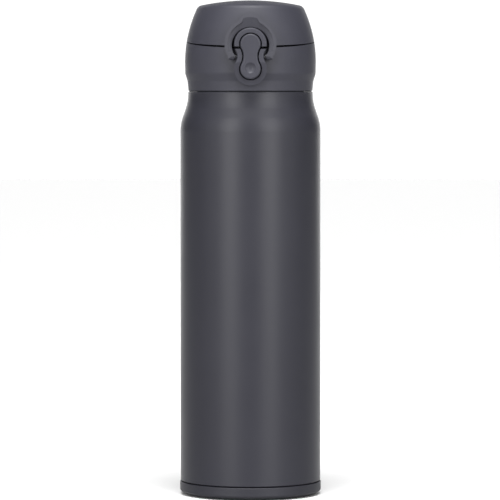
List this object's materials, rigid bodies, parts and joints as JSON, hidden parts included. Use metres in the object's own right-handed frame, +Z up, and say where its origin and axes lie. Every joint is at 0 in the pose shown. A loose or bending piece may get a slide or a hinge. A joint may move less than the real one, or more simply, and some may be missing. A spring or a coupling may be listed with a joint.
{
  "type": "vacuum flask",
  "caption": "Slim double-walled vacuum flask with a screwed cap unit, a flip-up lid over a drinking spout, a push-button latch and a swinging lock ring.",
  "frame": {"origin": "centre of the foot ring's standing face, on the bottle's axis", "axes": "+Z up along the bottle's axis to the lid, -Y towards the push button, +Y towards the lid hinge, +X to the right seen from behind the button side (left-right axis of the hinge)"},
  "size_m": [0.07, 0.074, 0.2444],
  "materials": {
    "body_paint": "satin slate-grey paint on drawn stainless steel",
    "steel": "electropolished stainless steel",
    "seal_metal": "dull metal seal pellet",
    "foil": "bright thin foil",
    "getter_metal": "pressed grey powder metal",
    "base_plastic": "fine matt moulding",
    "adhesive": "cured adhesive",
    "inner_plastic": "dark food-grade moulding",
    "silicone": "soft grey silicone",
    "cap_plastic": "matt slate-grey moulding",
    "button_plastic": "matt slate-grey moulding",
    "ring_plastic": "matt slate-grey moulding",
    "pin_steel": "ground stainless pin",
    "spring_steel": "drawn spring wire"
  },
  "bodies": {
    "bottle": {"outer_shell": "body_paint", "outer_base": "steel", "vacuum_seal": "seal_metal", "inner_vessel": "steel", "radiation_foil": "foil", "getter_clip": "steel", "getter": "getter_metal", "base_cover": "base_plastic", "adhesive_ring": "adhesive"},
    "riser": {"stopper_gasket": "silicone"},
    "cap": {"collar": "cap_plastic", "stopper_core": "inner_plastic", "spout": "inner_plastic", "spout_gasket": "silicone", "hinge_pin": "pin_steel", "hinge_spring": "spring_steel", "cross_pin": "pin_steel", "button_spring": "spring_steel"},
    "lid": {"lid_shell": "cap_plastic", "lid_liner": "inner_plastic", "lid_gasket": "silicone"},
    "button": {"push_button": "button_plastic"},
    "ring": {"lock_ring": "ring_plastic"}
  },
  "joints": [
    {"name": "cap_rise", "type": "slide", "parent": "bottle", "child": "riser", "axis": [0, 0, 1], "range_m": [0, 0.0075]},
    {"name": "cap_turn", "type": "hinge", "parent": "riser", "child": "cap", "pos_m": [0, 0, 0.2], "axis": [0, 0, 1], "range_deg": [0, 540]},
    {"name": "lid_open", "type": "hinge", "parent": "cap", "child": "lid", "pos_m": [0, 0.0335, 0.2278], "axis": [-1, 0, 0], "range_deg": [0, 120], "deforming": ["hinge_spring"]},
    {"name": "button_press", "type": "hinge", "parent": "cap", "child": "button", "pos_m": [0, -0.03395, 0.21635], "axis": [1, 0, 0], "range_deg": [0, 12], "stiffness_Nm_per_rad": 0.03, "springref_deg": -11.46, "deforming": ["button_spring"]},
    {"name": "ring_turn", "type": "hinge", "parent": "cap", "child": "ring", "pos_m": [0, -0.03395, 0.21635], "axis": [1, 0, 0], "range_deg": [0, 165]}
  ],
  "couplings": [
    {"joint": "cap_turn", "follows": "cap_rise", "rad_per_m": 1256.6}
  ]
}
